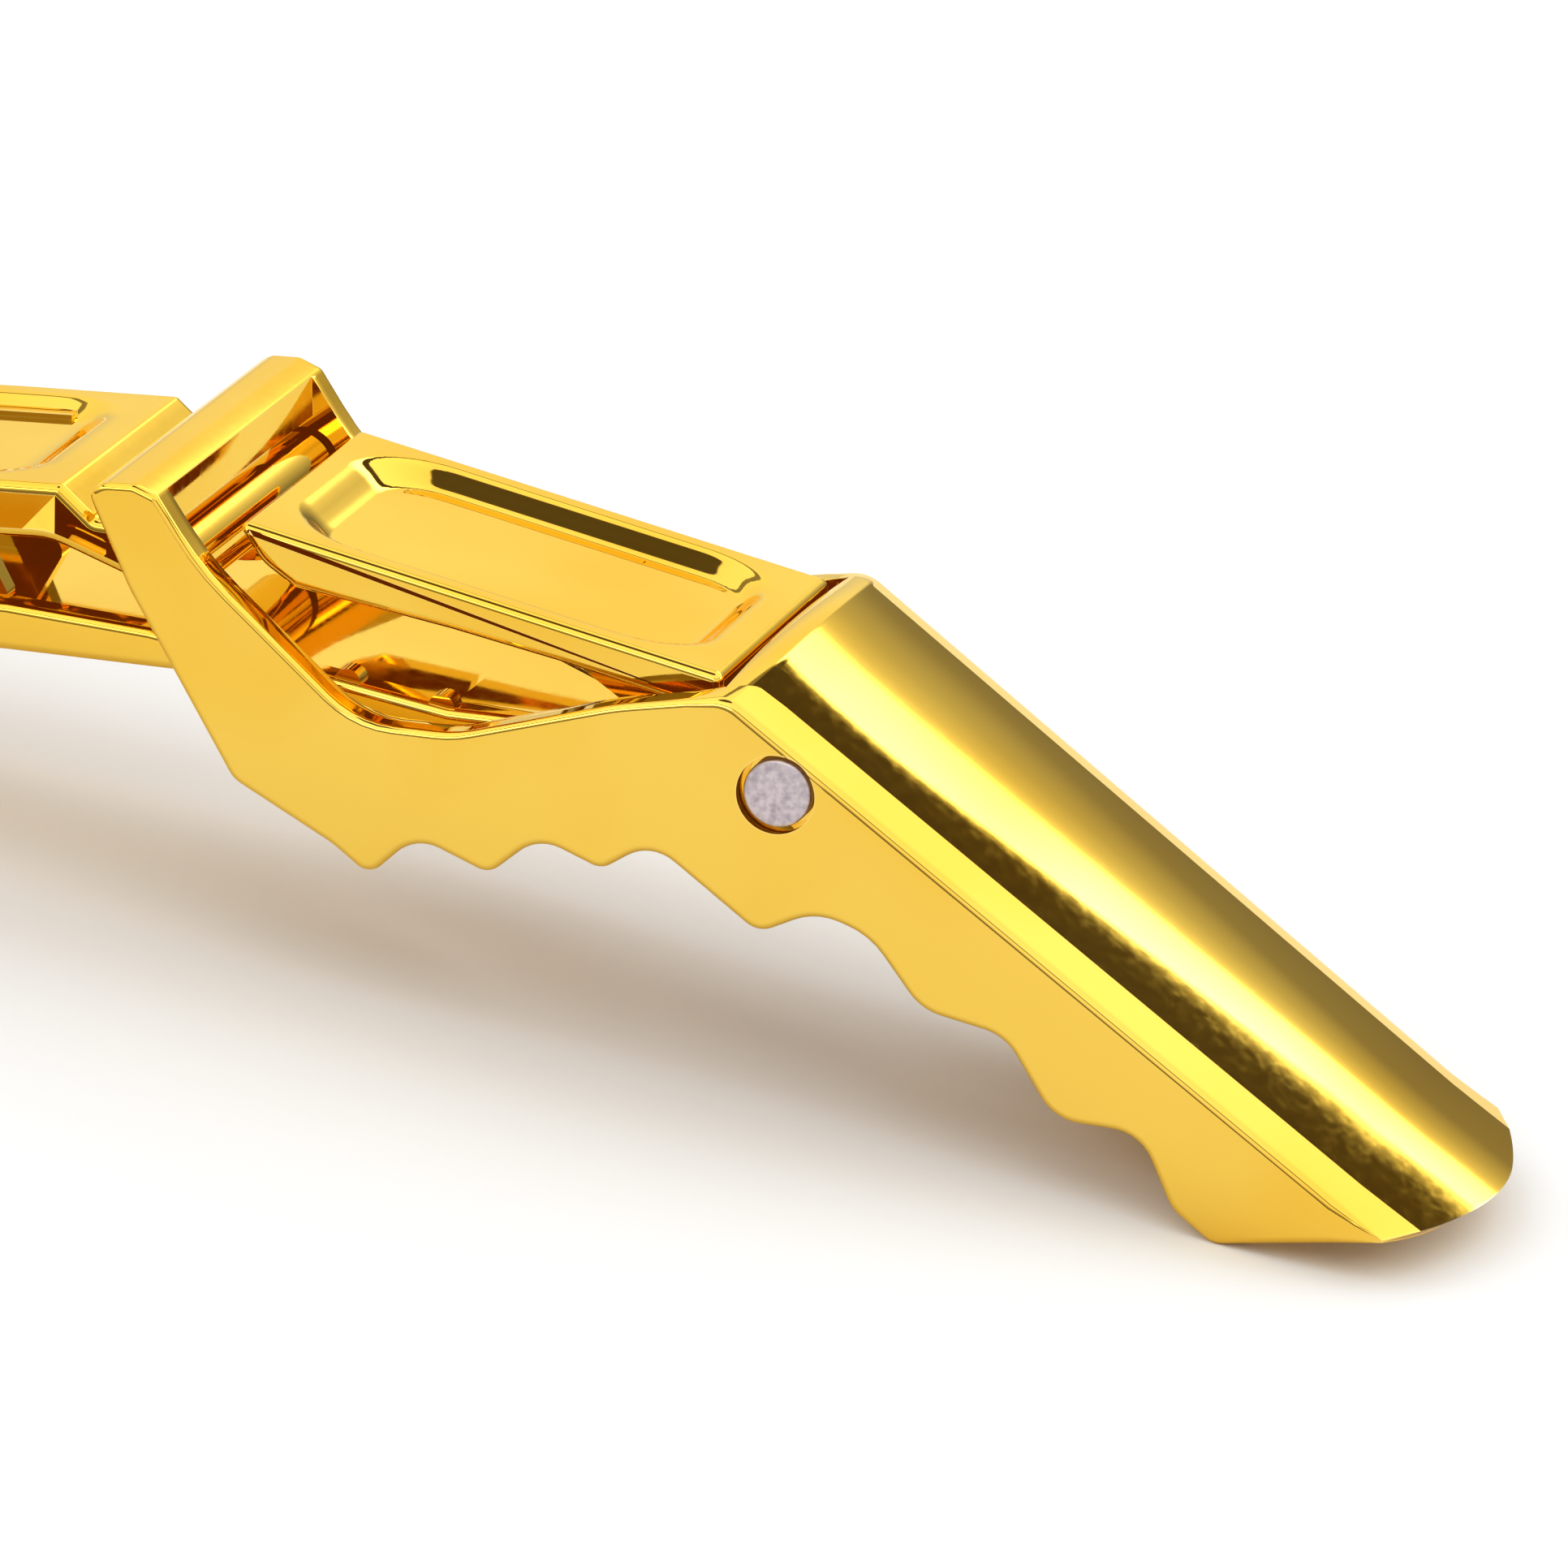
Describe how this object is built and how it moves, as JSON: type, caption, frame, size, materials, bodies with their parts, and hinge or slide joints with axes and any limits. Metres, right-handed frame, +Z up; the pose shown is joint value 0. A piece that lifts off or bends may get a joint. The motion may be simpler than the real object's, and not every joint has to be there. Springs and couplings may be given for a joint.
{
  "type": "hair sectioning clip",
  "caption": "Long double-hinged hair sectioning clip with a scalloped yoke handle, a recessed thumb lever and toothed jaws, plated in mirror gold.",
  "frame": {"origin": "centre of the clip's footprint, on the surface that it stands on with the heel of the handle and the tip of the lower jaw", "axes": "+X along the clip towards the end of the handle, the jaws point to -X; +Y across the clip; +Z up"},
  "size_m": [0.1154, 0.02, 0.0182],
  "materials": {
    "handle_gold": "moulded ABS electroplated in mirror gold",
    "lower_jaw_gold": "moulded ABS electroplated in mirror gold",
    "upper_jaw_gold": "moulded ABS electroplated in mirror gold",
    "thumb_lever_gold": "moulded ABS electroplated in mirror gold",
    "pin_steel": "matt cropped steel",
    "spring_steel": "drawn spring wire"
  },
  "bodies": {
    "handle": {"handle": "handle_gold", "hinge_pin": "pin_steel", "jaw_pin": "pin_steel", "main_spring": "spring_steel"},
    "lever": {"lower_jaw": "lower_jaw_gold", "thumb_lever": "thumb_lever_gold"},
    "upper_jaw": {"upper_jaw": "upper_jaw_gold"}
  },
  "joints": [
    {"name": "lever_hinge", "type": "hinge", "parent": "handle", "child": "lever", "pos_m": [0.02916, 0, 0.0129], "axis": [0, -1, 0], "range_deg": [0, 15], "stiffness_Nm_per_rad": 0.1, "springref_deg": -89.95, "deforming": ["main_spring"]},
    {"name": "upper_jaw_hinge", "type": "hinge", "parent": "handle", "child": "upper_jaw", "pos_m": [0.00334, 0, 0.01436], "axis": [0, 1, 0], "range_deg": [0, 6]}
  ]
}
